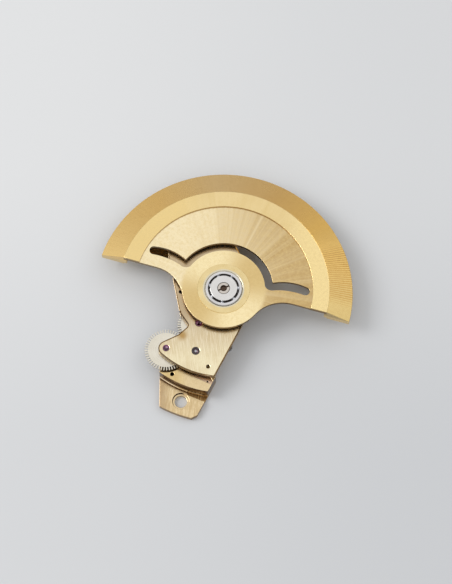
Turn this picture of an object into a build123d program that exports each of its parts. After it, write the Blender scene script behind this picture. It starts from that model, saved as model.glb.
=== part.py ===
from build123d import *
from math import acos, atan2, cos, degrees, hypot, radians, sin, sqrt
import os

os.makedirs("parts", exist_ok=True)

# Automatic winding module of a wrist watch: a half-moon rotor on a ball bearing, above
# a two-storey bridge that holds two reversing wheels and a reduction wheel.
# Millimetres. The rotor turns about Z, and Z = 0 is the face that lies on the movement.

# Heights, counted up from the seating face
base_thickness = 0.6
train_space = 1.65
bridge_thickness = 0.4
rotor_air = 0.42
plate_thickness = 0.35
band_rise = 0.18
wheel_air = 0.15
wheel_thickness = 0.18
deck_air = 0.06
rim_air = 0.14
rim_relief = 0.14
rim_step = 0.1
wedge_depth = 0.24

# Train: teeth and the direction from each axis to the next
wheel_teeth = 48
first_wheel_angle = -126.2
second_wheel_angle = -140.8
reduction_teeth = 50
clutch_leaves = 24
arbor_air = 0.532
output_module = 0.085
output_leaves = 10
addendum_share = 0.95
dedendum_share = 1.2
tooth_width_share = 0.43
flank_share = 0.5

# Bridges and the foot that carries the near screw
ear_air = 1.242
ear_radius = 0.75
hub_wall = 0.92
near_edge_angle = -27.2
far_edge_angle = 26.2
hidden_inset = 0.12
edge_inset = 0.42
strip_width = 1.34
deck_lap = 0.3
pocket_air = 0.1
cove_radius = 0.16
recess_depth = 0.3
movement_radius = 12.9
apex_round = 0.35
foot_corner = 0.42
screw_hole_radius = 0.62
screw_sink_radius = 0.82
screw_sink_depth = 0.2
screw_edge_distance = 1.37
near_hole_angle = -111.4
far_hole_angle = 137.0
far_foot_angle = 11.5
foot_wall = 1.27
edge_break = 0.03

# Rotor
rotor_radius = 12.8
weight_width = 2.6
bevel_width = 2.35
band_width = 1.61
bevel_drop = 0.95
hub_radius = 4.1
hub_fillet = 3.6
rotor_edge_offset = 0.36
rotor_axis_angle = 73.7
slot_width = 0.8
slot_corner_angle = 66.3
slot_end_wall = 0.76
slot_end_angle = 75.6
slot_end_width = 0.86
slot_heel_angle = 70.3
rim_break = 0.06

# Hub, ball bearing and clamping screw
gear_wall = 0.27
gear_seat_wall = 0.15
ring_wall = 0.305
bearing_gap = 0.205
ball_radius = 0.25
ball_count = 7
first_ball_angle = 7.0
ball_depth = 0.5
groove_air = 0.015
ring_sink = 0.05
ring_chamfer = 0.09
cage_air = 0.03
cage_floor = 0.12
cage_horn = 0.1
pocket_clearance = 0.02
bush_wall = 0.3
bush_flange_width = 0.45
bush_flange_rise = 0.07
bush_tail = 0.3
gear_height = 0.3
opening_air = 0.2
race_length = 0.65
head_radius = 0.6
head_height = 0.27
head_sink = 0.03
head_air = 0.02
shank_radius = 0.36
shank_length = 1.7
shank_air = 0.02
bore_spare = 0.2
slot_cut_width = 0.16
slot_cut_depth = 0.11
slot_cut_angle = 25.0
eye_radius = 0.27
eye_depth = 0.16
post_radius = 0.9
post_flange_radius = 1.25
post_flange_height = 0.3
post_spigot_radius = 0.6
post_spigot_height = 0.42
post_root_radius = 0.7
post_root_depth = 0.4

# Reversing units
ratchet_distance = 0.52
ratchet_teeth = 24
ratchet_depth = 0.14
ratchet_thickness = 0.22
ratchet_air = 0.29
clutch_length = 0.5
arbor_radius = 0.2
wheel_bush_radius = 0.42
bush_shoulder_radius = 0.62
bush_shoulder_height = 0.1
bush_rise = 0.05
bush_gap = 0.04
pawl_edge_distance = 0.465
pawl_eye_radius = 0.31
pawl_nose_radius = 0.12
pawl_nose_air = 0.02
pawl_sweep_angle = 38.0
pawl_count = 2
pawl_side_air = 0.02
first_pawl_angle = 20.0
stud_radius = 0.1
stud_shoulder_radius = 0.16
stud_head_radius = 0.17
stud_head_height = 0.06

# Reduction wheel
reduction_thickness = 0.14
reduction_arbor_radius = 0.24
output_length = 0.24
output_air = 0.06
spoke_rim = 0.36
spoke_hub_radius = 0.6
spoke_width = 0.3
spoke_count = 4

# Pivots and jewels
pivot_radius = 0.09
big_pivot_radius = 0.12
pivot_length = 0.34
jewel_radius = 0.33
big_jewel_radius = 0.4
jewel_thickness = 0.3
jewel_sink = 0.03
oil_cup = 0.1
running_air = 0.015
end_shake = 0.04

# Pillars, their screws and the plain holes
pillar_radius = 0.42
thread_radius = 0.2
thread_length = 1.2
pillar_screw_head_radius = 0.42
pillar_screw_head_height = 0.2
pillar_screw_air = 0.03
pillar_screw_slot_width = 0.12
pillar_screw_slot_depth = 0.09
sight_hole_radius = 0.19
pillar_sight_radius = 0.16
strip_hole_radius = 0.2
strip_hole_depth = 0.8
small_hole_radius = 0.08
window_radius = 0.85
window_wall = 0.05
overrun = 0.5

# Places that the outlines pass through, as shares of the radius where each one ends
left_edge_shares = [(-0.613, 0.412), (-0.489, -0.230)]
notch_shares = [(-0.479, -0.238), (-0.478, -0.256)]
bay_shares = [(-0.382, -0.401), (-0.418, -0.448), (-0.494, -0.505)]
pillar_shares = [(-0.474, -0.002), (0.050, -0.553), (-0.500, 0.730), (-0.170, 0.880)]
sight_hole_share = (-0.170, -0.880)
strip_hole_share = (-0.563, -0.936)
small_hole_share = (-0.175, -1.023)
ridge_shares = [(-0.514, -0.872), (-0.080, -1.083)]
recess_shares = [(-0.350, -0.893), (-0.341, -0.982), (-0.155, -1.062), (-0.097, -0.932)]
far_foot_shares = [(-0.547, 0.403), (-0.720, 0.454), (-0.518, 0.864)]
slot_throat_share = (1.195, 0.31)
slot_neck_share = (1.107, 0.278)
slot_crest_share = 1.1
window_angle = -15.0


def polar(radius, angle):
    return (radius * cos(radians(angle)), radius * sin(radians(angle)))


def shifted(start, radius, angle):
    reach = polar(radius, angle)
    return (start[0] + reach[0], start[1] + reach[1])


def scaled(shares, size):
    return [(x * size, y * size) for x, y in shares]


def direction(start, end):
    return degrees(atan2(end[1] - start[1], end[0] - start[0]))


def turned_plane(centre, height, angle):
    # A level plane at a train axis, with its X axis turned to the given angle
    across = polar(1, angle)
    return Plane(origin=(*centre, height), x_dir=(*across, 0), z_dir=(0, 0, 1))


def upright_plane(centre):
    # The plane of a turned profile: its X is the radius and its Y the height
    return Plane(origin=(*centre, 0), x_dir=(1, 0, 0), z_dir=(0, -1, 0))


def upright_axis(centre):
    return Axis((*centre, 0), (0, 0, 1))


def meshing_angle(tooth_angle, teeth, mate_teeth, line_angle):
    # The angle of a tooth on the mating wheel, so that it stands in a gap of the first
    lead = tooth_angle - line_angle
    gap_angle = line_angle + 180 - lead * teeth / mate_teeth
    return gap_angle + 180 / mate_teeth


def gear_outline(teeth, module):
    # Radial flanks up to the pitch circle and a pointed addendum, as on watch wheels
    pitch_radius = teeth * module / 2
    tip_radius = pitch_radius + addendum_share * module
    root_radius = pitch_radius - dedendum_share * module
    crown_radius = pitch_radius + addendum_share * module * flank_share
    step = 360 / teeth
    half = step * tooth_width_share / 2
    points = []
    for tooth in range(teeth):
        middle = tooth * step
        points.append(polar(root_radius, middle - half))
        points.append(polar(pitch_radius, middle - half))
        points.append(polar(crown_radius, middle - half * (1 - flank_share / 2)))
        points.append(polar(tip_radius, middle))
        points.append(polar(crown_radius, middle + half * (1 - flank_share / 2)))
        points.append(polar(pitch_radius, middle + half))
        points.append(polar(root_radius, middle + half))
    with BuildLine() as edge:
        Polyline(*points, close=True)
    return edge.line


def leaf_outline(teeth, module):
    # The plainer teeth of a pinion or a wheel that is seen only through gaps
    pitch_radius = teeth * module / 2
    tip_radius = pitch_radius + addendum_share * module
    root_radius = pitch_radius - dedendum_share * module
    step = 360 / teeth
    half = step * tooth_width_share / 2
    points = []
    for tooth in range(teeth):
        middle = tooth * step
        points.append(polar(root_radius, middle - half))
        points.append(polar(pitch_radius, middle - half))
        points.append(polar(tip_radius, middle))
        points.append(polar(pitch_radius, middle + half))
        points.append(polar(root_radius, middle + half))
    with BuildLine() as edge:
        Polyline(*points, close=True)
    return edge.line


def ratchet_outline():
    step = 360 / ratchet_teeth
    points = []
    for tooth in range(ratchet_teeth):
        points.append(polar(ratchet_radius, tooth * step))
        points.append(polar(ratchet_radius - ratchet_depth, tooth * step))
    with BuildLine() as edge:
        Polyline(*points, close=True)
    return edge.line


def finish(piece, name):
    piece.part.label = name
    export_step(piece.part, f"parts/{name}.step")


# Heights of the faces
base_top = base_thickness
bridge_bottom = base_top + train_space
bridge_top = bridge_bottom + bridge_thickness
plate_bottom = bridge_top + rotor_air
plate_top = plate_bottom + plate_thickness
band_top = plate_top + band_rise
wheel_top = bridge_bottom - wheel_air
wheel_bottom = wheel_top - wheel_thickness
deck_top = wheel_bottom - deck_air
wedge_top = deck_top - wedge_depth
rim_bottom = deck_top + rim_air
bevel_foot = band_top - bevel_drop
race_top = band_top
race_split = race_top - ball_depth
race_bottom = race_split - race_length
ring_top = race_top - ring_sink
gear_bottom = wheel_bottom
gear_top = gear_bottom + gear_height
ratchet_top = wheel_bottom - ratchet_air
ratchet_bottom = ratchet_top - ratchet_thickness
clutch_bottom = ratchet_bottom - clutch_length
reduction_bottom = ratchet_bottom - clutch_length / 2 - reduction_thickness / 2
output_bottom = base_top + output_air
shaft_bottom = base_top + end_shake
shaft_top = bridge_bottom - end_shake

# Radii about the rotor's axis, from its edge inwards to the last axis of the train
rotor_centre = (0, 0)
weight_inner_radius = rotor_radius - weight_width
bevel_radius = rotor_radius - bevel_width
band_radius = bevel_radius - band_width
slot_end_radius = band_radius - slot_end_wall
bridge_end_radius = weight_inner_radius - ear_air
strip_end_radius = bridge_end_radius + strip_width
train_reach = bridge_end_radius - ear_radius

# Places of the three train axes, their modules, and the angles that put teeth in mesh
half_bend = (second_wheel_angle - first_wheel_angle) / 2
wheel_distance = train_reach / cos(radians(half_bend)) / 2
wheel_module = wheel_distance / wheel_teeth
wheel_pitch_radius = wheel_distance / 2
wheel_tip_radius = wheel_pitch_radius + addendum_share * wheel_module
wheel_root_radius = wheel_pitch_radius - dedendum_share * wheel_module
axis_a = polar(wheel_distance, first_wheel_angle)
axis_b = shifted(axis_a, wheel_distance, second_wheel_angle)
reduction_distance = wheel_tip_radius + reduction_arbor_radius + arbor_air
reduction_module = reduction_distance * 2 / (reduction_teeth + clutch_leaves)
reduction_tip_radius = (reduction_teeth / 2 + addendum_share) * reduction_module
reduction_turn = degrees(acos(wheel_distance / 2 / reduction_distance))
axis_c = shifted(axis_a, reduction_distance, second_wheel_angle + reduction_turn)
gear_tooth_angle = first_wheel_angle
wheel_a_angle = meshing_angle(gear_tooth_angle, wheel_teeth, wheel_teeth, first_wheel_angle)
wheel_b_angle = meshing_angle(wheel_a_angle, wheel_teeth, wheel_teeth, second_wheel_angle)
leaf_a_angle = meshing_angle(0, reduction_teeth, clutch_leaves, direction(axis_c, axis_a))
leaf_b_angle = meshing_angle(0, reduction_teeth, clutch_leaves, direction(axis_c, axis_b))

# Radii of the hub, the bearing and the reversing units, which follow the wheels
opening_radius = wheel_tip_radius + opening_air
edge_distance = opening_radius + hub_wall
gear_seat_radius = wheel_root_radius - gear_wall
gap_outer_radius = gear_seat_radius - gear_seat_wall
gap_inner_radius = gap_outer_radius - bearing_gap
bearing_radius = gap_outer_radius + ring_wall
ball_circle_radius = (gap_outer_radius + gap_inner_radius) / 2
groove_radius = ball_radius + groove_air
pawl_pivot_radius = wheel_root_radius - pawl_edge_distance
ratchet_radius = pawl_pivot_radius - ratchet_distance

# Holes and pillars of the bridges
screw_circle_radius = movement_radius - screw_edge_distance
near_hole = polar(screw_circle_radius, near_hole_angle)
far_hole = polar(screw_circle_radius, far_hole_angle)
pillars = scaled(pillar_shares, bridge_end_radius)
sight_hole = scaled([sight_hole_share], bridge_end_radius)[0]
strip_hole = scaled([strip_hole_share], bridge_end_radius)[0]
small_hole = scaled([small_hole_share], bridge_end_radius)[0]
foot_left = near_hole[0] - screw_sink_radius - foot_wall


def near_edge_point(radius):
    # Where the straight right-hand edge, which is tangent to the hub, meets a circle
    tangent_point = polar(edge_distance, near_edge_angle)
    along = sqrt(radius ** 2 - edge_distance ** 2)
    return shifted(tangent_point, along, near_edge_angle - 90)


def bridge_outline():
    # Right edge, end arc, round ear over axis b, the bay beside the wheels, left edge,
    # far end arc, far edge and the round side of the hub
    corner = near_edge_point(bridge_end_radius)
    ear_angle = direction(rotor_centre, axis_b)
    ear_start = polar(bridge_end_radius, ear_angle)
    end_middle = (ear_angle + direction(rotor_centre, corner)) / 2
    left = scaled(left_edge_shares, bridge_end_radius)
    notch = scaled(notch_shares, bridge_end_radius)
    bay = scaled(bay_shares, bridge_end_radius)
    bay_angle = direction(axis_b, bay[2])
    bay_distance = hypot(bay[2][0] - axis_b[0], bay[2][1] - axis_b[1])
    tangent_angle = bay_angle + degrees(acos(ear_radius / bay_distance))
    bay_end = shifted(axis_b, ear_radius, tangent_angle)
    ear_side = shifted(axis_b, ear_radius, (tangent_angle + ear_angle + 360) / 2)
    far_left = (left[0][0], sqrt(bridge_end_radius ** 2 - left[0][0] ** 2))
    far_along = sqrt(bridge_end_radius ** 2 - edge_distance ** 2)
    far_tangent = polar(edge_distance, far_edge_angle)
    far_right = shifted(far_tangent, far_along, far_edge_angle + 90)
    far_middle = (direction(rotor_centre, far_left) + direction(rotor_centre, far_right)) / 2
    hub_middle = (near_edge_angle + far_edge_angle) / 2
    with BuildLine() as edge:
        Line(corner, polar(edge_distance, near_edge_angle))
        ThreePointArc(
            polar(edge_distance, near_edge_angle),
            polar(edge_distance, hub_middle),
            far_tangent,
        )
        Line(far_tangent, far_right)
        ThreePointArc(far_right, polar(bridge_end_radius, far_middle), far_left)
        Line(far_left, left[0])
        Line(left[0], left[1])
        Line(left[1], notch[0])
        Line(notch[0], notch[1])
        FilletPolyline(notch[1], bay[0], bay[2], radius=apex_round)
        Line(bay[2], bay_end)
        ThreePointArc(bay_end, ear_side, ear_start)
        ThreePointArc(ear_start, polar(bridge_end_radius, end_middle), corner)
    return edge.line


def near_foot_outline():
    # From under the ear down the left edge, round the movement's edge, up the right edge
    low_left = (foot_left, -sqrt(movement_radius ** 2 - foot_left ** 2))
    low_right = near_edge_point(movement_radius)
    corner_turn = degrees(foot_corner / movement_radius)
    arc_end = polar(movement_radius, direction(rotor_centre, low_right) - corner_turn)
    arc_middle = (direction(rotor_centre, low_left) + direction(rotor_centre, arc_end)) / 2
    corner_top = shifted(low_right, foot_corner, near_edge_angle + 90)
    inner_right = near_edge_point(bridge_end_radius - deck_lap)
    with BuildLine() as edge:
        Line((foot_left, axis_b[1]), low_left)
        ThreePointArc(low_left, polar(movement_radius, arc_middle), arc_end)
        Line(arc_end, corner_top)
        Line(corner_top, inner_right)
        Line(inner_right, (foot_left, axis_b[1]))
    return edge.line


def edge_margin_outline():
    # The strip along the right edge where the floor stays back behind the upper bridge
    low_end = near_edge_point(bridge_end_radius - deck_lap)
    tangent_point = polar(edge_distance, near_edge_angle)
    high_end = shifted(tangent_point, hub_wall + edge_inset, near_edge_angle + 90)
    corners = [
        shifted(low_end, edge_inset, near_edge_angle + 180),
        shifted(high_end, edge_inset, near_edge_angle + 180),
        shifted(high_end, edge_inset, near_edge_angle),
        shifted(low_end, edge_inset, near_edge_angle),
    ]
    with BuildLine() as edge:
        Polyline(*corners, close=True)
    return edge.line


def far_foot_outline():
    inner = scaled(far_foot_shares, bridge_end_radius)
    low_corner = polar(movement_radius, far_hole_angle + far_foot_angle)
    high_corner = polar(movement_radius, far_hole_angle - far_foot_angle)
    with BuildLine() as edge:
        Line(inner[0], inner[1])
        Line(inner[1], low_corner)
        ThreePointArc(low_corner, polar(movement_radius, far_hole_angle), high_corner)
        Line(high_corner, inner[2])
        Line(inner[2], inner[0])
    return edge.line


# Lower bridge: a flat floor with two feet
with BuildPart() as lower_bridge:
    with BuildSketch():
        add(bridge_outline())
        make_face()
        offset(amount=-hidden_inset, mode=Mode.REPLACE)
        add(near_foot_outline())
        make_face()
        add(far_foot_outline())
        make_face()
        add(edge_margin_outline())
        make_face(mode=Mode.SUBTRACT)
    extrude(amount=base_thickness)
    with BuildSketch(Plane.XY.offset(base_top)):
        with BuildLine():
            Polyline(*scaled(recess_shares, strip_end_radius), close=True)
        make_face()
        Circle(strip_end_radius, mode=Mode.SUBTRACT)
    extrude(amount=-recess_depth, mode=Mode.SUBTRACT)
    with BuildSketch(Plane.XZ):
        with Locations((strip_end_radius + cove_radius * flank_share, base_top)):
            Circle(cove_radius)
    revolve(axis=Axis.Z, mode=Mode.SUBTRACT)
    with Locations((*near_hole, base_top), (*far_hole, base_top)):
        CounterBoreHole(screw_hole_radius, screw_sink_radius, screw_sink_depth)
    with Locations((*axis_a, base_top), (*axis_b, base_top)):
        Hole(jewel_radius)
    with Locations((*axis_c, base_top)):
        Hole(big_jewel_radius)
    with Locations((*rotor_centre, base_top)):
        Hole(post_root_radius, depth=post_root_depth)
    with BuildSketch():
        window_distance = big_jewel_radius + window_wall + window_radius
        with Locations(shifted(axis_c, window_distance, window_angle)):
            Circle(window_radius)
    extrude(amount=base_thickness, mode=Mode.SUBTRACT)
    with BuildSketch():
        with Locations(*pillars):
            Circle(pillar_screw_head_radius + pillar_screw_air)
    extrude(amount=pillar_screw_head_height + pillar_screw_air, mode=Mode.SUBTRACT)
    with BuildSketch():
        with Locations(*pillars):
            Circle(thread_radius + pillar_screw_air)
    extrude(amount=base_thickness, mode=Mode.SUBTRACT)
finish(lower_bridge, "lower_bridge")

# Raised deck on the floor at the near end: a curved strip hollowed for the two wheels
with BuildPart() as bridge_deck:
    with BuildSketch(Plane.XY.offset(base_top)):
        add(near_foot_outline())
        make_face()
        Circle(strip_end_radius, mode=Mode.INTERSECT)
        Circle(bridge_end_radius - deck_lap, mode=Mode.SUBTRACT)
        with Locations(axis_c):
            Circle(reduction_tip_radius + pocket_air, mode=Mode.SUBTRACT)
        with Locations(axis_b):
            Circle(wheel_tip_radius + pocket_air, mode=Mode.SUBTRACT)
    extrude(amount=deck_top - base_top)
    with BuildSketch(Plane.XY.offset(deck_top)):
        ridge = scaled(ridge_shares, bridge_end_radius)
        with BuildLine():
            Polyline(*ridge, axis_c, close=True)
        make_face()
    extrude(amount=-wedge_depth, mode=Mode.SUBTRACT)
    with BuildSketch(Plane.XZ):
        with Locations((strip_end_radius + cove_radius * flank_share, base_top)):
            Circle(cove_radius)
    revolve(axis=Axis.Z, mode=Mode.SUBTRACT)
    with Locations((*strip_hole, deck_top)):
        Hole(strip_hole_radius, depth=strip_hole_depth)
    with Locations((*small_hole, wedge_top)):
        Hole(small_hole_radius, depth=strip_hole_depth)
finish(bridge_deck, "bridge_deck")

# Upper bridge: the brushed plate over the train, with the round opening for the hub
with BuildPart() as upper_bridge:
    with BuildSketch(Plane.XY.offset(bridge_bottom)):
        add(bridge_outline())
        make_face()
        Circle(opening_radius, mode=Mode.SUBTRACT)
        with Locations(axis_a, axis_b):
            Circle(jewel_radius, mode=Mode.SUBTRACT)
        with Locations(axis_c):
            Circle(big_jewel_radius, mode=Mode.SUBTRACT)
        with Locations(sight_hole):
            Circle(sight_hole_radius, mode=Mode.SUBTRACT)
        with Locations(pillars[0]):
            Circle(pillar_sight_radius, mode=Mode.SUBTRACT)
    extrude(amount=bridge_thickness)
    chamfer(upper_bridge.faces().sort_by(Axis.Z)[-1].outer_wire().edges(), edge_break)
finish(upper_bridge, "upper_bridge")

# Pillars between the bridges, riveted into the upper one, with a thread from below
with BuildPart() as bridge_pillars:
    with BuildSketch(Plane.XY.offset(base_top)):
        with Locations(*pillars):
            Circle(pillar_radius)
            Circle(thread_radius, mode=Mode.SUBTRACT)
    extrude(amount=train_space)
finish(bridge_pillars, "bridge_pillars")

# Their screws, driven from the seating face
with BuildPart() as pillar_screws:
    with BuildSketch(Plane.XY.offset(pillar_screw_air)):
        with Locations(*pillars):
            Circle(pillar_screw_head_radius)
    extrude(amount=pillar_screw_head_height)
    with BuildSketch(Plane.XY.offset(pillar_screw_air + pillar_screw_head_height)):
        with Locations(*pillars):
            Circle(thread_radius)
    extrude(amount=thread_length)
    with BuildSketch(Plane.XY.offset(pillar_screw_air)):
        with Locations(*pillars):
            Rectangle(pillar_screw_head_radius * 2 + overrun, pillar_screw_slot_width)
    extrude(amount=pillar_screw_slot_depth, mode=Mode.SUBTRACT)
finish(pillar_screws, "pillar_screws")

# Steel post that stands in the lower bridge and carries the inner race
with BuildPart() as rotor_post:
    bore_floor = race_top - head_sink - head_height - shank_length - bore_spare
    with BuildSketch(Plane.XZ):
        with BuildLine():
            Polyline(
                (0, base_top - post_root_depth),
                (post_root_radius, base_top - post_root_depth),
                (post_root_radius, base_top),
                (post_flange_radius, base_top),
                (post_flange_radius, base_top + post_flange_height),
                (post_radius, base_top + post_flange_height),
                (post_radius, race_bottom),
                (post_spigot_radius, race_bottom),
                (post_spigot_radius, race_bottom + post_spigot_height),
                (shank_radius, race_bottom + post_spigot_height),
                (shank_radius, bore_floor),
                (0, bore_floor),
                close=True,
            )
        make_face()
    revolve(axis=Axis.Z)
finish(rotor_post, "rotor_post")

# Inner race in two halves, parted at the balls, with a groove for them
with BuildPart() as lower_race:
    with BuildSketch(Plane.XZ):
        with BuildLine():
            Polyline(
                (post_spigot_radius, race_bottom),
                (gap_inner_radius, race_bottom),
                (gap_inner_radius, race_split),
                (post_spigot_radius, race_split),
                close=True,
            )
        make_face()
        with Locations((ball_circle_radius, race_split)):
            Circle(groove_radius, mode=Mode.SUBTRACT)
    revolve(axis=Axis.Z)
finish(lower_race, "lower_race")

with BuildPart() as upper_race:
    head_seat = race_top - head_sink - head_height
    with BuildSketch(Plane.XZ):
        with BuildLine():
            Polyline(
                (shank_radius + shank_air, race_split),
                (gap_inner_radius, race_split),
                (gap_inner_radius, race_top - edge_break),
                (gap_inner_radius - edge_break, race_top),
                (head_radius + head_air, race_top),
                (head_radius + head_air, head_seat),
                (shank_radius + shank_air, head_seat),
                close=True,
            )
        make_face()
        with Locations((ball_circle_radius, race_split)):
            Circle(groove_radius, mode=Mode.SUBTRACT)
    revolve(axis=Axis.Z)
finish(upper_race, "upper_race")

# Slotted screw that clamps the inner race on the post
with BuildPart() as rotor_screw:
    with BuildSketch(Plane.XZ):
        with BuildLine():
            Polyline(
                (0, head_seat - shank_length),
                (shank_radius, head_seat - shank_length),
                (shank_radius, head_seat),
                (head_radius, head_seat),
                (head_radius, head_seat + head_height - edge_break),
                (head_radius - edge_break, head_seat + head_height),
                (eye_radius, head_seat + head_height),
                (eye_radius, head_seat + head_height - eye_depth),
                (0, head_seat + head_height - eye_depth),
                close=True,
            )
        make_face()
    revolve(axis=Axis.Z)
    with BuildSketch(turned_plane(rotor_centre, head_seat + head_height, slot_cut_angle)):
        Rectangle(head_radius * 2 + overrun, slot_cut_width)
    extrude(amount=-slot_cut_depth, mode=Mode.SUBTRACT)
finish(rotor_screw, "rotor_screw")

# Outer ring of the bearing, with the seat of the rotor's gear at its foot
with BuildPart() as outer_ring:
    with BuildSketch(Plane.XZ):
        with BuildLine():
            Polyline(
                (gap_outer_radius, gear_bottom),
                (gear_seat_radius, gear_bottom),
                (gear_seat_radius, gear_top),
                (bearing_radius, gear_top),
                (bearing_radius, ring_top - ring_chamfer),
                (bearing_radius - ring_chamfer, ring_top),
                (gap_outer_radius, ring_top),
                close=True,
            )
        make_face()
        with Locations((ball_circle_radius, race_split)):
            Circle(groove_radius, mode=Mode.SUBTRACT)
    revolve(axis=Axis.Z)
finish(outer_ring, "outer_ring")

with BuildPart() as bearing_balls:
    with Locations((0, 0, race_split)):
        with PolarLocations(ball_circle_radius, ball_count, start_angle=first_ball_angle):
            Sphere(ball_radius)
finish(bearing_balls, "bearing_balls")

# Crown cage: a floor ring with horns between the balls
with BuildPart() as bearing_cage:
    pocket_radius = ball_radius + pocket_clearance
    cage_bottom = race_split - pocket_radius - cage_floor
    with BuildSketch(Plane.XY.offset(cage_bottom)):
        Circle(gap_outer_radius - cage_air)
        Circle(gap_inner_radius + cage_air, mode=Mode.SUBTRACT)
    extrude(amount=pocket_radius + cage_floor + cage_horn)
    with Locations((0, 0, race_split)):
        with PolarLocations(ball_circle_radius, ball_count, start_angle=first_ball_angle):
            Cylinder(pocket_radius, overrun, rotation=(0, 90, 0), mode=Mode.SUBTRACT)
finish(bearing_cage, "bearing_cage")

# Gear pressed on the foot of the outer ring, which drives the first reversing wheel
with BuildPart() as rotor_gear:
    with BuildSketch(turned_plane(rotor_centre, gear_bottom, gear_tooth_angle)):
        add(gear_outline(wheel_teeth, wheel_module))
        make_face()
        Circle(gear_seat_radius, mode=Mode.SUBTRACT)
    extrude(amount=gear_height)
finish(rotor_gear, "rotor_gear")

# Bush riveted in the rotor plate, with a low flange on top
bush_radius = bearing_radius + bush_wall
flange_radius = bush_radius + bush_flange_width
with BuildPart() as hub_bush:
    with BuildSketch(Plane.XZ):
        with BuildLine():
            Polyline(
                (bearing_radius, plate_bottom - bush_tail),
                (bush_radius, plate_bottom - bush_tail),
                (bush_radius, plate_top),
                (flange_radius, plate_top),
                (flange_radius, plate_top + bush_flange_rise - edge_break),
                (flange_radius - edge_break, plate_top + bush_flange_rise),
                (bearing_radius + bush_flange_rise, plate_top + bush_flange_rise),
                (bearing_radius, plate_top),
                close=True,
            )
        make_face()
    revolve(axis=Axis.Z)
finish(hub_bush, "hub_bush")


def side_point(radius, angle, side):
    # A place beside the rotor's line of symmetry, measured as an angle away from it
    return (side * radius * sin(radians(angle)), radius * cos(radians(angle)))


def slot_outline():
    # An arc round the hub, a corner at each end, and a wing out to a round end
    inner = hub_radius
    outer = hub_radius + slot_width
    half_end = slot_end_width / 2
    end_height = slot_end_radius * cos(radians(slot_end_angle))
    end_reach = slot_end_radius * sin(radians(slot_end_angle))
    with BuildLine() as edge:
        ThreePointArc(
            side_point(outer, slot_corner_angle, -1),
            (0, outer),
            side_point(outer, slot_corner_angle, 1),
        )
        for side in (-1, 1):
            corner = side_point(outer, slot_corner_angle, side)
            far_end = (side * end_reach, end_height + half_end)
            near_end = (side * end_reach, end_height - half_end)
            tip = (side * (end_reach + half_end), end_height)
            crest_height = end_height + half_end * slot_crest_share
            crest = ((corner[0] + side * end_reach) / 2, crest_height)
            throat = (side * inner * slot_throat_share[0], inner * slot_throat_share[1])
            neck = (side * inner * slot_neck_share[0], inner * slot_neck_share[1])
            heel = side_point(inner, slot_heel_angle, side)
            saddle = ((throat[0] + side * end_reach) / 2, end_height - half_end)
            ThreePointArc(corner, crest, far_end)
            ThreePointArc(far_end, tip, near_end)
            ThreePointArc(near_end, saddle, throat)
            ThreePointArc(throat, neck, heel)
        ThreePointArc(
            side_point(inner, slot_heel_angle, -1),
            (0, inner),
            side_point(inner, slot_heel_angle, 1),
        )
    return edge.line


# Rotor plate: the half moon with its hub disc, the curved slot and the raised band
rotor_turn = rotor_axis_angle - 90
with BuildPart() as rotor_plate:
    with BuildSketch(turned_plane(rotor_centre, plate_bottom, rotor_turn)) as half_moon:
        Circle(bevel_radius)
        with Locations((0, rotor_edge_offset)):
            Rectangle(
                bevel_radius * 2,
                bevel_radius + rotor_edge_offset + overrun,
                align=(Align.CENTER, Align.MAX),
                mode=Mode.SUBTRACT,
            )
        Circle(hub_radius)
        fillet(half_moon.vertices().sort_by_distance((0, 0))[:2], radius=hub_fillet)
        add(slot_outline())
        make_face(mode=Mode.SUBTRACT)
        Circle(bush_radius, mode=Mode.SUBTRACT)
    extrude(amount=plate_thickness)
    with BuildSketch(turned_plane(rotor_centre, plate_top, rotor_turn)):
        Circle(bevel_radius)
        Circle(band_radius, mode=Mode.SUBTRACT)
        with Locations((0, rotor_edge_offset)):
            Rectangle(
                bevel_radius * 2,
                bevel_radius + rotor_edge_offset + overrun,
                align=(Align.CENTER, Align.MAX),
                mode=Mode.SUBTRACT,
            )
    extrude(amount=band_rise)
finish(rotor_plate, "rotor_plate")

# Heavy rim: a turned ring with a ledge under the plate and a wide outer bevel
with BuildPart() as rotor_weight:
    with BuildSketch(Plane.XZ):
        with BuildLine():
            Polyline(
                (weight_inner_radius, rim_bottom),
                (rotor_radius - rim_break, rim_bottom),
                (rotor_radius, rim_bottom + rim_break),
                (rotor_radius, bevel_foot),
                (bevel_radius, band_top),
                (bevel_radius, plate_bottom),
                (weight_inner_radius, plate_bottom),
                close=True,
            )
        make_face()
    revolve(axis=Axis.Z)
    with BuildSketch(turned_plane(rotor_centre, rim_bottom, rotor_turn)):
        with Locations((0, rotor_edge_offset)):
            Rectangle(
                (rotor_radius + overrun) * 2,
                rotor_radius + rotor_edge_offset + overrun,
                align=(Align.CENTER, Align.MAX),
            )
    extrude(amount=band_top - rim_bottom, mode=Mode.SUBTRACT)
    with BuildSketch(Plane.XY.offset(rim_bottom)):
        Circle(train_reach + wheel_tip_radius + rim_relief)
    extrude(amount=wheel_top + rim_step - rim_bottom, mode=Mode.SUBTRACT)
finish(rotor_weight, "rotor_weight")

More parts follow.
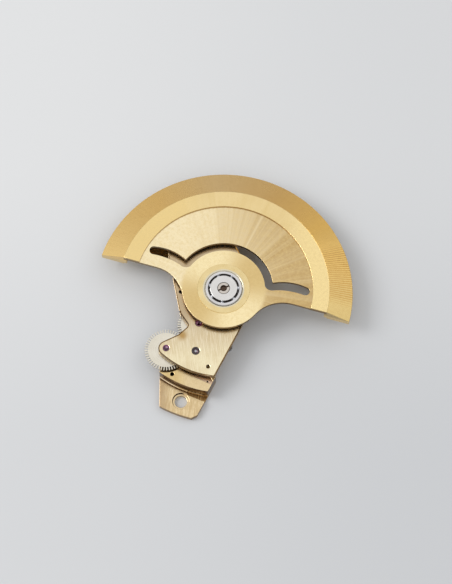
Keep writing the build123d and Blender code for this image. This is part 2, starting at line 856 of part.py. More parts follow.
# Two reversing units, each a wheel with pawls that turns freely over its clutch pinion
units = {
    "a": (axis_a, wheel_a_angle, leaf_a_angle),
    "b": (axis_b, wheel_b_angle, leaf_b_angle),
}
pawl_bottom = ratchet_bottom + pawl_side_air
pawl_thickness = ratchet_thickness - pawl_side_air
stud_foot = pawl_bottom - pawl_side_air
for unit, (centre, wheel_angle, leaf_angle) in units.items():
    with BuildPart() as reverser_wheel:
        with BuildSketch(turned_plane(centre, wheel_bottom, wheel_angle)):
            add(gear_outline(wheel_teeth, wheel_module))
            make_face()
            Circle(wheel_bush_radius, mode=Mode.SUBTRACT)
        extrude(amount=wheel_thickness)
    finish(reverser_wheel, f"reverser_wheel_{unit}")

    with BuildPart() as wheel_bush:
        with BuildSketch(upright_plane(centre)):
            with BuildLine():
                Polyline(
                    (arbor_radius + running_air, ratchet_top + bush_gap),
                    (wheel_bush_radius, ratchet_top + bush_gap),
                    (wheel_bush_radius, wheel_bottom - bush_shoulder_height),
                    (bush_shoulder_radius, wheel_bottom - bush_shoulder_height),
                    (bush_shoulder_radius, wheel_bottom),
                    (wheel_bush_radius, wheel_bottom),
                    (wheel_bush_radius, wheel_top + bush_rise),
                    (arbor_radius + running_air, wheel_top + bush_rise),
                    close=True,
                )
            make_face()
        revolve(axis=upright_axis(centre))
    finish(wheel_bush, f"wheel_bush_{unit}")

    with BuildPart() as pawl_studs:
        with BuildSketch(turned_plane(centre, wheel_bottom, first_pawl_angle)):
            with PolarLocations(pawl_pivot_radius, pawl_count):
                Circle(stud_shoulder_radius)
        extrude(amount=-(wheel_bottom - ratchet_top - pawl_side_air))
        with BuildSketch(turned_plane(centre, stud_foot, first_pawl_angle)):
            with PolarLocations(pawl_pivot_radius, pawl_count):
                Circle(stud_radius)
        extrude(amount=ratchet_top + pawl_side_air - stud_foot)
        with BuildSketch(turned_plane(centre, stud_foot, first_pawl_angle)):
            with PolarLocations(pawl_pivot_radius, pawl_count):
                Circle(stud_head_radius)
        extrude(amount=-stud_head_height)
    finish(pawl_studs, f"pawl_studs_{unit}")

    for number in range(pawl_count):
        pawl_angle = first_pawl_angle + number * 360 / pawl_count
        nose_circle = ratchet_radius + pawl_nose_air + pawl_nose_radius
        with BuildPart() as pawl:
            with BuildSketch(turned_plane(centre, pawl_bottom, pawl_angle)):
                with Locations((pawl_pivot_radius, 0)):
                    Circle(pawl_eye_radius)
                with Locations(polar(nose_circle, pawl_sweep_angle)):
                    Circle(pawl_nose_radius)
                make_hull()
                with Locations((pawl_pivot_radius, 0)):
                    Circle(stud_radius + running_air, mode=Mode.SUBTRACT)
            extrude(amount=pawl_thickness)
        finish(pawl, f"pawl_{unit}_{number + 1}")

    with BuildPart() as ratchet:
        with BuildSketch(turned_plane(centre, ratchet_bottom, leaf_angle)):
            add(ratchet_outline())
            make_face()
            Circle(arbor_radius, mode=Mode.SUBTRACT)
        extrude(amount=ratchet_thickness)
    finish(ratchet, f"ratchet_{unit}")

    with BuildPart() as clutch_pinion:
        with BuildSketch(turned_plane(centre, clutch_bottom, leaf_angle)):
            add(leaf_outline(clutch_leaves, reduction_module))
            make_face()
            Circle(arbor_radius, mode=Mode.SUBTRACT)
        extrude(amount=clutch_length)
    finish(clutch_pinion, f"clutch_pinion_{unit}")

    with BuildPart() as clutch_arbor:
        with BuildSketch(upright_plane(centre)):
            with BuildLine():
                Polyline(
                    (0, shaft_bottom - pivot_length),
                    (pivot_radius, shaft_bottom - pivot_length),
                    (pivot_radius, shaft_bottom),
                    (arbor_radius, shaft_bottom),
                    (arbor_radius, shaft_top),
                    (pivot_radius, shaft_top),
                    (pivot_radius, shaft_top + pivot_length),
                    (0, shaft_top + pivot_length),
                    close=True,
                )
            make_face()
        revolve(axis=upright_axis(centre))
    finish(clutch_arbor, f"clutch_arbor_{unit}")

# Reduction wheel with four spokes, in mesh with both clutch pinions
with BuildPart() as reduction_wheel:
    spoke_outer = reduction_teeth * reduction_module / 2 - spoke_rim
    with BuildSketch(turned_plane(axis_c, reduction_bottom, 0)):
        add(leaf_outline(reduction_teeth, reduction_module))
        make_face()
        Circle(reduction_arbor_radius, mode=Mode.SUBTRACT)
    extrude(amount=reduction_thickness)
    with BuildSketch(turned_plane(axis_c, reduction_bottom, 0)):
        Circle(spoke_outer)
        Circle(spoke_hub_radius, mode=Mode.SUBTRACT)
        with PolarLocations(0, spoke_count):
            Rectangle(
                spoke_outer * 2,
                spoke_width,
                align=(Align.MIN, Align.CENTER),
                mode=Mode.SUBTRACT,
            )
    extrude(amount=reduction_thickness, mode=Mode.SUBTRACT)
finish(reduction_wheel, "reduction_wheel")

# Its arbor, with the output pinion cut on it
with BuildPart() as reduction_arbor:
    with BuildSketch(upright_plane(axis_c)):
        with BuildLine():
            Polyline(
                (0, shaft_bottom - pivot_length),
                (big_pivot_radius, shaft_bottom - pivot_length),
                (big_pivot_radius, shaft_bottom),
                (reduction_arbor_radius, shaft_bottom),
                (reduction_arbor_radius, shaft_top),
                (big_pivot_radius, shaft_top),
                (big_pivot_radius, shaft_top + pivot_length),
                (0, shaft_top + pivot_length),
                close=True,
            )
        make_face()
    revolve(axis=upright_axis(axis_c))
    with BuildSketch(turned_plane(axis_c, output_bottom, 0)):
        add(leaf_outline(output_leaves, output_module))
        make_face()
    extrude(amount=output_length)
finish(reduction_arbor, "reduction_arbor")

# Pierced jewels in both bridges, each with an oil cup on its outer side
jewels = {
    "a": (axis_a, jewel_radius, pivot_radius + running_air),
    "b": (axis_b, jewel_radius, pivot_radius + running_air),
    "c": (axis_c, big_jewel_radius, big_pivot_radius + running_air),
}
sides = {
    "upper": (bridge_top - jewel_sink, -1),
    "lower": (base_top - jewel_sink - jewel_thickness, 1),
}
for unit, (centre, radius, hole) in jewels.items():
    for storey, (outer_face, inward) in sides.items():
        with BuildPart() as jewel:
            with BuildSketch(upright_plane(centre)):
                with BuildLine():
                    Polyline(
                        (hole, outer_face + inward * oil_cup),
                        (hole + oil_cup, outer_face),
                        (radius, outer_face),
                        (radius, outer_face + inward * jewel_thickness),
                        (hole, outer_face + inward * jewel_thickness),
                        close=True,
                    )
                make_face()
            revolve(axis=upright_axis(centre))
        finish(jewel, f"{storey}_jewel_{unit}")
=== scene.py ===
import bmesh
import bpy
import math
from mathutils import Matrix, Vector


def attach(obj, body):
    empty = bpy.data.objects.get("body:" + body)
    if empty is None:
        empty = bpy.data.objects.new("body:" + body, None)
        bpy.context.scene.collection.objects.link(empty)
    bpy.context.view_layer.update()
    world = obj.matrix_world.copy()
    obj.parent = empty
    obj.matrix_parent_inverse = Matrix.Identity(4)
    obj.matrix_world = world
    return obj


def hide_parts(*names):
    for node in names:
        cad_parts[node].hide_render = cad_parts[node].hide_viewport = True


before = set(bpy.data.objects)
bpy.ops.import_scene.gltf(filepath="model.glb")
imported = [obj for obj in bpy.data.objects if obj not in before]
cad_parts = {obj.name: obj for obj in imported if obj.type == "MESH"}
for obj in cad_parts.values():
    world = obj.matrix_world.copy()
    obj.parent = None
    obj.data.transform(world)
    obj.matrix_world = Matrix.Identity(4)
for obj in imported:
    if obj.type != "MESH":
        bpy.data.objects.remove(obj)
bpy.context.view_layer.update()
scene = bpy.context.scene
scene.view_settings.view_transform = "Standard"
mm = 0.001
print("frame loaded:", len(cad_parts), "nodes")


# a socket that can be used in sums, so that shader maths reads as maths
class Wire:
    def __init__(self, bench, node, socket):
        self.bench = bench
        self.node = node
        self.socket = socket

    def out(self, which):  # another output of the same node, by name or number
        return Wire(self.bench, self.node, self.node.outputs[which])

    def __add__(self, other):
        return self.bench.maths("ADD", self, other)

    def __radd__(self, other):
        return self.bench.maths("ADD", other, self)

    def __sub__(self, other):
        return self.bench.maths("SUBTRACT", self, other)

    def __rsub__(self, other):
        return self.bench.maths("SUBTRACT", other, self)

    def __mul__(self, other):
        return self.bench.maths("MULTIPLY", self, other)

    def __rmul__(self, other):
        return self.bench.maths("MULTIPLY", other, self)


# one material or world on the bench, with its nodes
class Bench:
    def __init__(self, name, world=False):
        home = bpy.data.worlds if world else bpy.data.materials
        self.made = home.new(name)
        self.made.use_nodes = True
        self.tree = self.made.node_tree
        self.tree.nodes.clear()

    # any node: its settings first, then the values or links of its sockets
    def add(self, kind, settings=None, sockets=None):
        node = self.tree.nodes.new(kind)
        for key, value in (settings or {}).items():
            if key == "stops":
                stops = node.color_ramp.elements
                for place, tone in value[2:]:
                    stops.new(place)
                for stop, (place, tone) in zip(stops, value):
                    stop.position = place
                    stop.color = tone
            else:
                setattr(node, key, value)
        for key, value in (sockets or {}).items():
            if isinstance(value, Wire):
                self.tree.links.new(value.socket, node.inputs[key])
            else:
                node.inputs[key].default_value = value
        return Wire(self, node, node.outputs[0] if node.outputs else None)

    def maths(self, kind, *values):
        return self.add("ShaderNodeMath", {"operation": kind}, dict(enumerate(values)))

    def vector(self, kind, *values):
        return self.add("ShaderNodeVectorMath", {"operation": kind}, dict(enumerate(values)))

    def spot(self):
        return self.add("ShaderNodeTexCoord").out("Object")

    def split(self, vector):
        return self.add("ShaderNodeSeparateXYZ", None, {0: vector})

    def facing(self):  # the way the surface faces
        return self.split(self.add("ShaderNodeNewGeometry").out("Normal"))

    def noise(self, vector, scale, detail, roughness=0.5, distortion=0.0):
        return self.add("ShaderNodeTexNoise", None, {
            "Vector": vector, "Scale": scale, "Detail": detail,
            "Roughness": roughness, "Distortion": distortion})

    def between(self, value, low, high, start=0.0, end=1.0, kind="SMOOTHSTEP"):
        return self.add("ShaderNodeMapRange", {"interpolation_type": kind}, {
            "Value": value, "From Min": low, "From Max": high,
            "To Min": start, "To Max": end})

    def blend(self, share, first, second):
        mix = self.add("ShaderNodeMix", {"data_type": "RGBA"}, {0: share, 6: first, 7: second})
        return mix.out(2)  # the colour output

    # the way out from an upright axis, and the distance from it
    def outward(self, spot, axis):
        return self.vector("MULTIPLY", self.vector("SUBTRACT", spot, axis), (1, 1, 0))

    def reach(self, spot, axis):
        return self.vector("LENGTH", self.outward(spot, axis)).out("Value")

    def around(self, parts):  # the angle about the rotor's axis
        return self.maths("ARCTAN2", parts.out("Y"), parts.out("X"))

    # 1 inside an upright cylinder, with a soft edge
    def within(self, spot, axis, radius, blur):
        return self.between(self.reach(spot, axis), radius + blur, radius - blur)

    # fine lines that run out from an axis, with the given pitch at the given radius
    def rays(self, spot, axis, pitch, radius, detail):
        way = self.vector("NORMALIZE", self.outward(spot, axis))
        return self.noise(way, radius / pitch, detail, grainRoughness)

    # fine lines that run round an axis
    def rings(self, spot, axis, pitch, detail):
        line = self.add("ShaderNodeCombineXYZ", None, {0: self.reach(spot, axis)})
        return self.noise(line, 1 / pitch, detail, grainRoughness)

    # fine straight lines along a direction given as an angle in the plane
    def strokes(self, spot, angle, pitch, length, detail):
        laid = self.add("ShaderNodeMapping", {"vector_type": "TEXTURE"}, {
            "Vector": spot, "Rotation": (0, 0, math.radians(angle)),
            "Scale": (length, pitch, length)})
        return self.noise(laid, 1.0, detail, grainRoughness)

    # how steep the surface stands: 0 on level faces, 1 on walls
    def steep(self, level=0.93, wall=0.62):
        return self.between(self.maths("ABSOLUTE", self.facing().out("Z")), level, wall)

    def bump(self, height, depth, strength=1.0, under=None):
        sockets = {"Height": height, "Distance": depth, "Strength": strength}
        if under is not None:
            sockets["Normal"] = under
        return self.add("ShaderNodeBump", None, sockets)

    def surface(self, sockets):
        shader = self.add("ShaderNodeBsdfPrincipled", None, sockets)
        self.add("ShaderNodeOutputMaterial", None, {"Surface": shader})
        return self.made

    def metal(self, tone, roughness, relief):
        return self.surface({"Base Color": tone, "Metallic": 1.0, "Roughness": roughness,
                             "Normal": relief})


# a colour as it is read off a screen, made linear
def colour(red, green, blue):
    shares = [value / 255 for value in (red, green, blue)]
    linear = [s / 12.92 if s <= 0.04045 else ((s + 0.055) / 1.055) ** 2.4 for s in shares]
    return (*linear, 1.0)


grainRoughness = 0.6  # how broken the brushed and turned lines are
rotorAxis = Vector((0, 0, 0))
axes = {
    "a": Vector((-2.4437, -3.3388, 0)) * mm,  # reversing wheel near the hub
    "b": Vector((-5.6500, -5.9539, 0)) * mm,  # reversing wheel on the left
    "c": Vector((-2.7420, -6.2462, 0)) * mm,  # reduction wheel
}

# the rotor's plate: brushed out from the axis, with a smoother raised band round it
rotorFinish = {
    "plate": colour(255, 238, 196),
    # painted shade: the plate darkens from left to right as the light falls, on top of its
    # streaks
    "plateDeepAndShade": colour(199, 167, 111),
    "plateShadeFade": (-5.0 * mm, 8.0 * mm),  # deeper from left to right
    "band": colour(242, 217, 161),
    "bandDeep": colour(234, 207, 147),
    "bandLevel": (3.49 * mm, 3.50 * mm),
    # painted light: lit tones at the band's left and right ends
    "bandLeftLit": colour(243, 214, 147),
    "bandLeftLightFade": (-1 * mm, -5 * mm),
    "bandRightLit": colour(251, 226, 163),
    "bandRightLightFade": (5.5 * mm, 9 * mm),
    "hub": colour(255, 236, 186),
    "hubDeep": colour(221, 192, 132),
    # painted highlight: the two bright lobes that light draws across the turned hub disc
    "hubHighlightTurn": 2.06,  # angle of the disc's two bright lobes, in radians
    "hubRadius": 4.182 * mm,
    "hubBlur": 0.25 * mm,
    # painted shade on the steep walls, a lighter tan on the band's step
    "edge": colour(112, 84, 40),
    "step": colour(160, 128, 76),
    "stepLevel": (3.405 * mm, 3.425 * mm),
    "roughness": 0.24,
    "grainRadius": 6 * mm,
    "rayPitch": 0.10 * mm,
    "rayDepth": 0.007 * mm,
    "streakPitch": 0.32 * mm,
    "broadPitch": 4.2 * mm,
    "ringPitch": 0.05 * mm,
    "cloudScale": 300,
    "cloudDepth": 0.012 * mm,
    "speckScale": 3600,
}


def makeRotorGilt(values):
    bench = Bench("rotorGilt")
    spot = bench.spot()
    parts = bench.split(spot)
    radius = values["grainRadius"]
    rays = bench.rays(spot, rotorAxis, values["rayPitch"], radius, detail=3)
    streaks = bench.rays(spot, rotorAxis, values["streakPitch"], radius, detail=3)
    broad = bench.rays(spot, rotorAxis, values["broadPitch"], radius, detail=1)
    rings = bench.rings(spot, rotorAxis, values["ringPitch"], detail=3)
    cloud = bench.noise(spot, values["cloudScale"], detail=3)
    speck = bench.noise(spot, values["speckScale"], detail=2)
    # plate: painted shade makes it darker to the right, where the streaks show more
    side = bench.between(parts.out("X"), *values["plateShadeFade"])
    deep = 0.3 * broad + 0.6 * side + (streaks - 0.5) * (0.5 * side + 0.25)
    plateTone = bench.blend(bench.between(deep, 0.0, 0.95), values["plate"],
                            values["plateDeepAndShade"])
    # hub disc: two painted highlight lobes across it, with some grain
    highlightLobes = 0.5 + 0.5 * bench.maths("COSINE", 2 * (bench.around(parts) - values["hubHighlightTurn"]))
    hubSheenAndGrain = 0.76 * highlightLobes + 0.1 * broad + 0.07 * streaks + 0.07 * cloud
    hubTone = bench.blend(bench.between(hubSheenAndGrain, 0.10, 0.88), values["hubDeep"], values["hub"])
    # raised band: painted light gives each end its own lit tone
    bandTone = bench.blend(bench.between(0.6 * cloud + 0.4 * streaks, 0.35, 0.62),
                           values["bandDeep"], values["band"])
    left = bench.between(parts.out("X"), *values["bandLeftLightFade"])
    right = bench.between(parts.out("X"), *values["bandRightLightFade"])
    bandTone = bench.blend(0.9 * left, bandTone, values["bandLeftLit"])
    bandTone = bench.blend(right, bandTone, values["bandRightLit"])
    # all three together, with specks and painted shade on the walls
    hub = bench.within(spot, rotorAxis, values["hubRadius"], values["hubBlur"])
    high = bench.between(parts.out("Z"), *values["bandLevel"])
    tone = bench.blend(hub, plateTone, hubTone)
    tone = bench.blend(high, tone, bandTone)
    tone = bench.blend(bench.between(speck, 0.35, 0.75, end=0.35), tone, values["bandDeep"])
    # painted shade: dark walls, a lighter tan on the band's step
    wall = bench.blend(bench.between(parts.out("Z"), *values["stepLevel"]), values["edge"],
                       values["step"])
    tone = bench.blend(0.85 * bench.steep(), tone, wall)
    rough = values["roughness"] + (cloud - 0.5) * 0.10 - 0.05 * high + (speck - 0.5) * 0.06
    relief = bench.bump(rays * (1 - 0.8 * high) + 0.25 * (rings * high), values["rayDepth"])
    relief = bench.bump(cloud, values["cloudDepth"], strength=0.4, under=relief)
    return bench.metal(tone, rough, relief)


# the heavy rim: a bevel turned and then grained outwards
weightFinish = {
    "dull": colour(202, 177, 118),
    "amber": colour(238, 193, 108),
    "brown": colour(228, 186, 117),
    "pale": colour(235, 200, 141),
    "straw": colour(242, 199, 123),
    "bright": colour(248, 212, 140),
    # painted light: where each lit or shaded tone lies on the bevel, in radians about the
    # axis, from the right end to the left end
    "turns": {"dull": 0.0, "amber": 0.6, "brown": 1.1, "pale": 1.6, "straw": 2.2,
              "bright": 2.8},
    "line": colour(180, 136, 68),
    # painted light: the ridges are drawn only on the right, where the light shows them
    "lineCount": 331,  # ridges in a full turn; they show only on the right
    "lineStart": (-0.18, -0.04),
    "lineEnd": (0.46, 0.30),
    "side": colour(232, 204, 148),
    "sideLevel": (2.66 * mm, 2.62 * mm),
    "roughness": 0.26,
    "grainRadius": 11.6 * mm,
    "grainPitch": 0.12 * mm,
    "grainDepth": 0.0025 * mm,
    "cloudScale": 260,
    "speckScale": 3000,
    "speckDepth": 0.002 * mm,
}


def makeWeightGilt(values):
    bench = Bench("weightGilt")
    spot = bench.spot()
    parts = bench.split(spot)
    grain = bench.rays(spot, rotorAxis, values["grainPitch"], values["grainRadius"], detail=3)
    cloud = bench.noise(spot, values["cloudScale"], detail=3)
    speck = bench.noise(spot, values["speckScale"], detail=2)
    around = bench.around(parts)
    # painted light: the tone changes along the bevel as the light falls on it
    first, last = values["turns"]["dull"], values["turns"]["bright"]
    turn = bench.between(around + (cloud - 0.5) * 0.25, first, last, kind="LINEAR")
    stops = [((angle - first) / (last - first), values[name])
             for name, angle in values["turns"].items()]
    tone = bench.add("ShaderNodeValToRGB", {"stops": stops}, {0: turn})
    # even ridges painted near the right end only, where the light picks them out; fine grain
    # everywhere
    ridges = 0.5 + 0.5 * bench.maths("SINE", around * values["lineCount"])
    ridgesWhereLit = bench.between(around, *values["lineEnd"]) * bench.between(
        around, *values["lineStart"])
    lines = ridges * (0.75 * ridgesWhereLit + 0.03) + (grain - 0.5) * 0.35 + (speck - 0.5) * 0.3
    tone = bench.blend(lines, tone, values["line"])
    tone = bench.blend(bench.between(parts.out("Z"), *values["sideLevel"]), tone,
                       values["side"])
    rough = values["roughness"] + (cloud - 0.5) * 0.08 + (speck - 0.5) * 0.06
    relief = bench.bump(grain, values["grainDepth"])
    relief = bench.bump(speck, values["speckDepth"], strength=0.4, under=relief)
    return bench.metal(tone, rough, relief)


# the upper bridge: pale gilding with fine straight strokes, with painted shade at the cut
# walls and towards the hub
upperFinish = {
    "pale": colour(224, 206, 169),
    "warm": colour(212, 188, 144),
    "stroke": colour(244, 230, 200),
    "olive": colour(188, 152, 96),
    "olivePlace": Vector((-4.1, -4.6, 0)) * mm,
    "oliveRadius": 0.45 * mm,
    "oliveBlur": 0.35 * mm,
    "south": colour(255, 244, 206),
    "southFade": (-4.8 * mm, -7.4 * mm),
    # painted shade under the rotor, towards the hub
    "shadeUnderRotor": colour(192, 168, 134),
    "shadeUnderRotorFade": (-5.0 * mm, -2.0 * mm),
    # painted shade on the walls, lighter where they face the light on the right
    "edge": colour(104, 76, 34),
    "edgeRightLit": colour(176, 134, 58),
    "angle": 97,
    "pitch": 0.06 * mm,
    "length": 1.8 * mm,
    "depth": 0.0022 * mm,
    "crossAngle": 80,
    "crossPitch": 0.13 * mm,
    "crossLength": 1.2 * mm,
    "patchScale": 420,
    "speckScale": 3600,
    "roughness": 0.22,
}


def makeUpperGilt(values):
    bench = Bench("upperBridgeGilt")
    spot = bench.spot()
    parts = bench.split(spot)
    strokes = bench.strokes(spot, values["angle"], values["pitch"], values["length"], detail=3)
    across = bench.strokes(spot, values["crossAngle"], values["crossPitch"],
                           values["crossLength"], detail=2)
    patch = bench.noise(spot, values["patchScale"], detail=4)
    speck = bench.noise(spot, values["speckScale"], detail=2)
    worn = 0.25 * across + 0.6 * patch + 0.15 * speck
    tone = bench.blend(bench.between(worn, 0.30, 0.62), values["warm"], values["pale"])
    tone = bench.blend(bench.between(strokes, 0.42, 0.66, end=0.75), tone, values["stroke"])
    # an olive stain, a paler end towards the foot, and painted shade towards the hub, under
    # the rotor
    olive = bench.within(spot, values["olivePlace"], values["oliveRadius"],
                         values["oliveBlur"])
    tone = bench.blend(olive * bench.between(patch, 0.40, 0.62), tone, values["olive"])
    south = bench.between(parts.out("Y"), *values["southFade"], end=0.7)
    tone = bench.blend(south * bench.between(patch, 0.3, 0.6, start=0.6), tone,
                       values["south"])
    shadeUnderRotor = bench.between(parts.out("Y"), *values["shadeUnderRotorFade"])
    tone = bench.blend(shadeUnderRotor * (0.8 + (patch - 0.5) * 0.6), tone, values["shadeUnderRotor"])
    # walls: painted shade, lighter where they face right, as the light falls
    wall = bench.blend(bench.between(bench.facing().out("X"), 0.3, 0.7), values["edge"],
                       values["edgeRightLit"])
    tone = bench.blend(bench.steep(), tone, wall)
    rough = values["roughness"] + (strokes - 0.5) * 0.12 + (patch - 0.5) * 0.08
    return bench.metal(tone, rough, bench.bump(strokes, values["depth"]))


# the lower bridge has a tone for each level: recess, foot, wedge and deck
lowerFinish = {
    # painted shade darkens the recess, with light scratch lines; painted highlight on its cove
    # at the left end
    "recess": colour(168, 128, 74),
    "recessLine": colour(240, 206, 144),
    "coveHighlight": colour(246, 226, 198),
    "coveHighlightFade": (-4.2 * mm, -5.4 * mm),
    "foot": colour(255, 235, 193),
    "footDeep": colour(212, 184, 137),
    "footLeft": colour(186, 158, 120),
    "footFade": (-4.9 * mm, -6.2 * mm),
    "footLevel": (0.36 * mm, 0.56 * mm),
    "wedge": colour(212, 182, 158),
    "wedgeLevel": (1.4 * mm, 1.6 * mm),
    "deck": colour(240, 216, 162),
    "deckDeep": colour(216, 186, 128),
    "deckPale": colour(234, 212, 170),
    "deckFade": (-4.6 * mm, -3.4 * mm),
    "deckLevel": (1.835 * mm, 1.85 * mm),
    # painted shade for the walls, lighter near the foot
    "wall": colour(92, 62, 28),
    "footWall": colour(160, 130, 88),
    "footWallLevel": (0.64 * mm, 0.60 * mm),
    "hole": colour(226, 202, 160),
    "holeDark": colour(74, 46, 20),
    "holePlace": Vector((-4.2070, -10.7350, 0)) * mm,
    "holeRadius": 0.84 * mm,
    "holeFloor": 0.77 * mm,
    "holeWay": (-0.8, 0.6, 0),  # its wall is dark on this side
    "holeFade": (0.10 * mm, 0.40 * mm),
    # painted shade inside the small hole
    "pitShade": colour(30, 18, 8),
    "pitPlace": Vector((-5.04, -8.38, 0)) * mm,
    "pitRadius": 0.21 * mm,
    "pitLevel": (1.83 * mm, 1.81 * mm),
    "blur": 0.01 * mm,
    "angle": 84,
    "pitch": 0.08 * mm,
    "length": 1.5 * mm,
    "depth": 0.005 * mm,
    "cloudScale": 500,
    "cloudDepth": 0.010 * mm,
    "patchScale": 150,
    "speckScale": 3600,
    "roughness": 0.24,
}


def makeLowerGilt(values):
    bench = Bench("lowerBridgeGilt")
    spot = bench.spot()
    parts = bench.split(spot)
    height = parts.out("Z")
    strokes = bench.strokes(spot, values["angle"], values["pitch"], values["length"], detail=3)
    cloud = bench.noise(spot, values["cloudScale"], detail=4, roughness=0.6)
    patch = bench.noise(spot, values["patchScale"], detail=2)
    speck = bench.noise(spot, values["speckScale"], detail=2)
    worn = bench.between(0.35 * strokes + 0.3 * cloud + 0.35 * patch, 0.38, 0.62)
    # a tone for each level, with painted shade in the recess and a painted highlight on the
    # cove at its left end
    recess = bench.blend(bench.between(strokes, 0.5, 0.66), values["recess"],
                         values["recessLine"])
    recess = bench.blend(bench.between(parts.out("X"), *values["coveHighlightFade"]), recess,
                         values["coveHighlight"])
    foot = bench.blend(worn, values["footDeep"], values["foot"])
    foot = bench.blend(bench.between(parts.out("X"), *values["footFade"], end=0.8), foot,
                       values["footLeft"])
    wedge = bench.blend(0.3 * worn, values["wedge"], values["deckDeep"])
    deck = bench.blend(worn, values["deckDeep"], values["deck"])
    deck = bench.blend(bench.between(parts.out("X"), *values["deckFade"], end=0.8), deck,
                       values["deckPale"])
    tone = bench.blend(bench.between(height, *values["footLevel"]), recess, foot)
    tone = bench.blend(bench.between(height, *values["wedgeLevel"]), tone, wedge)
    tone = bench.blend(bench.between(height, *values["deckLevel"]), tone, deck)
    tone = bench.blend(bench.between(speck, 0.35, 0.75, end=0.35), tone, values["footDeep"])
    # painted shade on the steep walls, lighter near the foot
    wall = bench.blend(bench.between(height, *values["footWallLevel"]), values["wall"],
                       values["footWall"])
    tone = bench.blend(0.9 * bench.steep(), tone, wall)
    # the screw hole's counterbore, with one side of its wall in shade
    sunk = bench.within(spot, values["holePlace"], values["holeRadius"], values["blur"])
    wallRing = sunk - bench.within(spot, values["holePlace"], values["holeFloor"],
                                   values["blur"])
    tone = bench.blend(sunk, tone, values["hole"])
    aside = bench.vector("DOT_PRODUCT", bench.vector("SUBTRACT", spot, values["holePlace"]),
                         values["holeWay"]).out("Value")
    tone = bench.blend(wallRing * bench.between(aside, *values["holeFade"]), tone,
                       values["holeDark"])
    # painted shade inside the small hole in the deck
    pitShade = bench.within(spot, values["pitPlace"], values["pitRadius"], values["blur"])
    tone = bench.blend(pitShade * bench.between(height, *values["pitLevel"]), tone, values["pitShade"])
    rough = values["roughness"] + (strokes - 0.5) * 0.12 + (cloud - 0.5) * 0.10
    relief = bench.bump(strokes, values["depth"])
    relief = bench.bump(cloud, values["cloudDepth"], strength=0.4, under=relief)
    return bench.metal(tone, rough, relief)


# turned and polished metals: fine rings about an axis
turnedCloud = 900  # scale of their faint clouds
turnedFinish = {
    "bushGilt": {
        "axis": rotorAxis, "tone": colour(244, 224, 172), "shade": colour(226, 200, 140),
        "roughness": 0.28, "pitch": 0.05 * mm, "depth": 0.003 * mm,
        # painted reflection: the bore's chamfer takes a grey tone
        "middle": 2.04 * mm, "middleTone": colour(222, 214, 190)},
    "ringSteel": {
        "axis": rotorAxis, "tone": colour(230, 228, 227), "shade": colour(204, 202, 201),
        "roughness": 0.34, "pitch": 0.04 * mm, "depth": 0.002 * mm},
    "raceSteel": {
        "axis": rotorAxis, "tone": colour(230, 228, 225), "shade": colour(214, 212, 210),
        "roughness": 0.28, "pitch": 0.06 * mm, "depth": 0.003 * mm},
    "screwSteel": {
        "axis": rotorAxis, "tone": colour(222, 216, 208), "shade": colour(190, 180, 170),
        "roughness": 0.22, "pitch": 0.05 * mm, "depth": 0.002 * mm,
        "middle": 0.33 * mm, "middleTone": colour(50, 32, 22),
        # painted shade in the slot and on the walls
        "slotLevel": (3.52 * mm, 3.49 * mm), "slotShade": colour(84, 70, 60)},
}
for unit in "ab":
    turnedFinish["wheelNickel" + unit.upper()] = {
        "axis": axes[unit], "tone": colour(236, 230, 215), "shade": colour(218, 211, 194),
        "roughness": 0.28, "pitch": 0.10 * mm, "depth": 0.003 * mm}


def makeTurned(name, values):
    bench = Bench(name)
    spot = bench.spot()
    rings = bench.rings(spot, values["axis"], values["pitch"], detail=2)
    cloud = bench.noise(spot, turnedCloud, detail=3)
    tone = bench.blend(bench.between(0.6 * rings + 0.4 * cloud, 0.3, 0.7), values["shade"],
                       values["tone"])
    if "middle" in values:  # a different tone round the axis: a painted grey reflection in the bush's bore, a darker centre on the screw
        middle = bench.within(spot, values["axis"], values["middle"], 0.035 * values["middle"])
        tone = bench.blend(middle, tone, values["middleTone"])
    if "slotLevel" in values:  # painted shade in the slot and on the walls
        below = bench.between(bench.split(spot).out("Z"), *values["slotLevel"])
        tone = bench.blend(bench.maths("MAXIMUM", below, bench.steep()), tone,
                           values["slotShade"])
    rough = values["roughness"] + (rings - 0.5) * 0.08 + (cloud - 0.5) * 0.06
    return bench.metal(tone, rough, bench.bump(rings, values["depth"]))


# plain satin metals with a little cloudiness
satinFinish = {
    # painted shade: the dark line along the upper bridge's broken edges
    "edgeShadeGilt": {"tone": colour(96, 66, 24), "shade": colour(128, 92, 40),
                 "roughness": 0.36, "scale": 1500, "depth": 0.002 * mm},
    "ballSteel": {"tone": colour(222, 224, 230), "shade": colour(190, 193, 200),
                  "roughness": 0.10, "scale": 3000, "depth": 0.0005 * mm},
    "plainSteel": {"tone": colour(196, 196, 200), "shade": colour(168, 168, 174),
                   "roughness": 0.30, "scale": 1800, "depth": 0.002 * mm},
    "cageSteel": {"tone": colour(96, 92, 90), "shade": colour(60, 56, 54),
                  "roughness": 0.42, "scale": 2200, "depth": 0.003 * mm},
    "wheelBrass": {"tone": colour(226, 192, 120), "shade": colour(206, 168, 96),
                   "roughness": 0.32, "scale": 1500, "depth": 0.002 * mm},
    "darkSteel": {"tone": colour(128, 104, 118), "shade": colour(92, 70, 84),
                  "roughness": 0.24, "scale": 1800, "depth": 0.002 * mm},
}


def makeSatin(name, values):
    bench = Bench(name)
    cloud = bench.noise(bench.spot(), values["scale"], detail=4)
    tone = bench.blend(bench.between(cloud, 0.35, 0.7), values["shade"], values["tone"])
    rough = values["roughness"] + (cloud - 0.5) * 0.12
    return bench.metal(tone, rough, bench.bump(cloud, values["depth"]))


